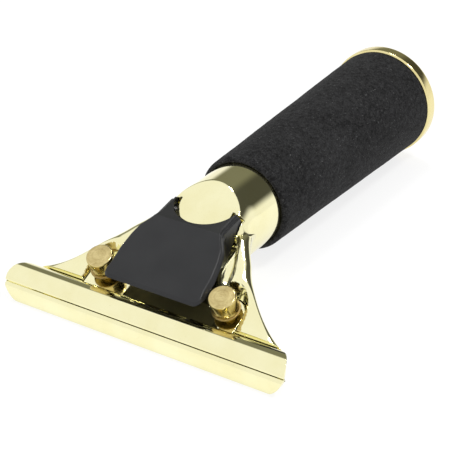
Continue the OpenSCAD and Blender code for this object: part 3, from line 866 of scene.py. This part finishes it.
def foam_profile():
    p = [(14.56, 66.0), (14.56, 60.9), (14.75, 60.55), (15.1, 60.45)]
    p += [(14.75 + 1.75 * math.cos(rad(a)), 62.3 + 1.85 * math.sin(rad(a))) for a in (-78, -66, -54, -42, -30, -18, -6)]
    n = 150
    for i in range(n + 1):
        t = i / n
        y = 62.6 + (156.6 - 62.6) * t
        r = 16.5 + (19.8 - 16.5) * (y - 62.3) / (157.5 - 62.3)
        p.append((r, y))
    p += [(19.72, 157.1), (19.5, 157.4), (19.2, 157.5), (13.55, 157.5), (13.55, 66.1), (14.5, 66.1)]
    return p


foam = turned_piece("foam", foam_profile(), AXIS, FOAM, "head", ["foam_grip"], 256, 50, close=True)
me = foam.data
co = np.zeros(len(me.vertices) * 3)
me.vertices.foreach_get("co", co)
co = co.reshape(-1, 3)
for i, (x, y, z) in enumerate(co):
    r = math.hypot(x, y)
    if r > 0.0155:
        d = 0.00010 * noise.noise(Vector((x * 60, y * 60, z * 60))) - 0.00010
        d += 0.00004 * noise.noise(Vector((x * 400, y * 400, z * 400)))
        co[i, 0] *= 1 + d / r
        co[i, 1] *= 1 + d / r
me.vertices.foreach_set("co", co.ravel())
me.update()

cp = [(13.55, 157.5), (collar_r - 1.1, 157.5)]
cp += [(collar_r - 0.8 + 0.8 * math.cos(rad(a)), 158.3 + 0.8 * math.sin(rad(a))) for a in range(-75, 1, 15)]
cp += [(collar_r - 1.4 + 1.4 * math.cos(rad(a)), total_len - 1.4 + 1.4 * math.sin(rad(a))) for a in range(0, 91, 9)]
cp += [(socket_r + 1.3, total_len), (socket_r + 0.75, total_len - 0.12), (socket_r + 0.45, total_len - 0.5), (socket_r + 0.4, total_len - 0.8), (socket_r + 0.4, 161.52), (13.55, 161.52)]
turned_piece("collar", cp, AXIS, COLLAR, "head", ["end_collar"], 256, 30, close=True)

# ------------------------------------------------------------------ camera, floor, light
cam = bpy.data.cameras.new("camera")
cam.lens = 119.48
cam.sensor_width = 36.0
cam.clip_start = 0.01
cam_ob = bpy.data.objects.new("camera", cam)
bpy.context.scene.collection.objects.link(cam_ob)
b = Vector((0.4681, -0.7360, 0.4891)).normalized()
rv = Vector((0.8438, 0.5367, 0)).normalized()
uv = b.cross(rv).normalized()
pos = Vector((-6.37, 60.0 - SHIFT, 12.27)) / 1000 + b * 0.49235
cam_ob.matrix_world = Matrix(((rv.x, uv.x, b.x, pos.x), (rv.y, uv.y, b.y, pos.y), (rv.z, uv.z, b.z, pos.z), (0, 0, 0, 1)))
bpy.context.scene.camera = cam_ob

floor = put("floor", [(-3, -3, 0), (3, -3, 0), (3, 3, 0), (-3, 3, 0)], [(0, 1, 2, 3)], None, local=True)
floor.location.z = -0.00005
fm = Nodes("floor_pale")
fv = fm.coord()
fm.out(Base_Color=fm.ramp(fm.noise(fv, 3, 2, 0.5), [(0.3, (0.21, 0.21, 0.21)), (0.7, (0.23, 0.23, 0.23))]), Roughness=0.9, Specular_IOR_Level=0.0, Emission_Color=(1.0, 1.0, 1.0), Emission_Strength=0.80)
floor.data.materials.append(fm.mat)

world = bpy.data.worlds.new("studio")
bpy.context.scene.world = world
world.use_nodes = True
wt = world.node_tree
bg = wt.nodes["Background"]
tc = wt.nodes.new("ShaderNodeTexCoord")
sx = wt.nodes.new("ShaderNodeSeparateXYZ")
wt.links.new(tc.outputs["Generated"], sx.inputs[0])


def wmath(op, a, b_):
    m = wt.nodes.new("ShaderNodeMath")
    m.operation = op
    for i, v in enumerate((a, b_)):
        if isinstance(v, (int, float)):
            m.inputs[i].default_value = v
        else:
            wt.links.new(v, m.inputs[i])
    return m.outputs[0]


def wsmooth(v, a, b_):
    m = wt.nodes.new("ShaderNodeMapRange")
    m.interpolation_type = "SMOOTHSTEP"
    m.inputs["From Min"].default_value = a
    m.inputs["From Max"].default_value = b_
    wt.links.new(v, m.inputs["Value"])
    return m.outputs["Result"]


# white tent all round, with the dark room showing above and behind it
rear = wsmooth(sx.outputs[1], 0.36, 0.46)
low = wsmooth(sx.outputs[2], 0.10, 0.34)
dark = wmath("MULTIPLY", rear, low)
mixc = wt.nodes.new("ShaderNodeMix")
mixc.data_type = "RGBA"
mixc.inputs[6].default_value = (1.0, 1.0, 1.0, 1)
room = wt.nodes.new("ShaderNodeMix")
room.data_type = "RGBA"
room.inputs[6].default_value = (0.205, 0.205, 0.155, 1)
room.inputs[7].default_value = (0.075, 0.075, 0.062, 1)
wt.links.new(wsmooth(sx.outputs[0], -0.15, 0.15), room.inputs[0])
wt.links.new(room.outputs[2], mixc.inputs[7])
wt.links.new(dark, mixc.inputs[0])
wt.links.new(mixc.outputs[2], bg.inputs["Color"])
bg.inputs["Strength"].default_value = 1.0


def area(name, loc, aim, size, power, color=(1, 1, 1)):
    l = bpy.data.lights.new(name, "AREA")
    l.shape = "RECTANGLE"
    l.size, l.size_y = size
    l.energy = power
    l.color = color
    o = bpy.data.objects.new(name, l)
    bpy.context.scene.collection.objects.link(o)
    o.location = loc
    d = Vector(aim) - Vector(loc)
    o.rotation_euler = d.to_track_quat("-Z", "Y").to_euler()
    return o


area("top_box", (-0.25, 0.10, 0.9), (0, 0, 0), (0.7, 0.5), 0.8).visible_glossy = False

area("strip_over", (-0.11, 0.31, 0.84), (0, 0, 0.01), (0.12, 0.12), 1.1)
area("key_right", (0.44, 0.02, 0.90), (0, 0, 0.01), (0.16, 0.16), 3.2)

sc = bpy.context.scene
sc.view_settings.view_transform = "Standard"
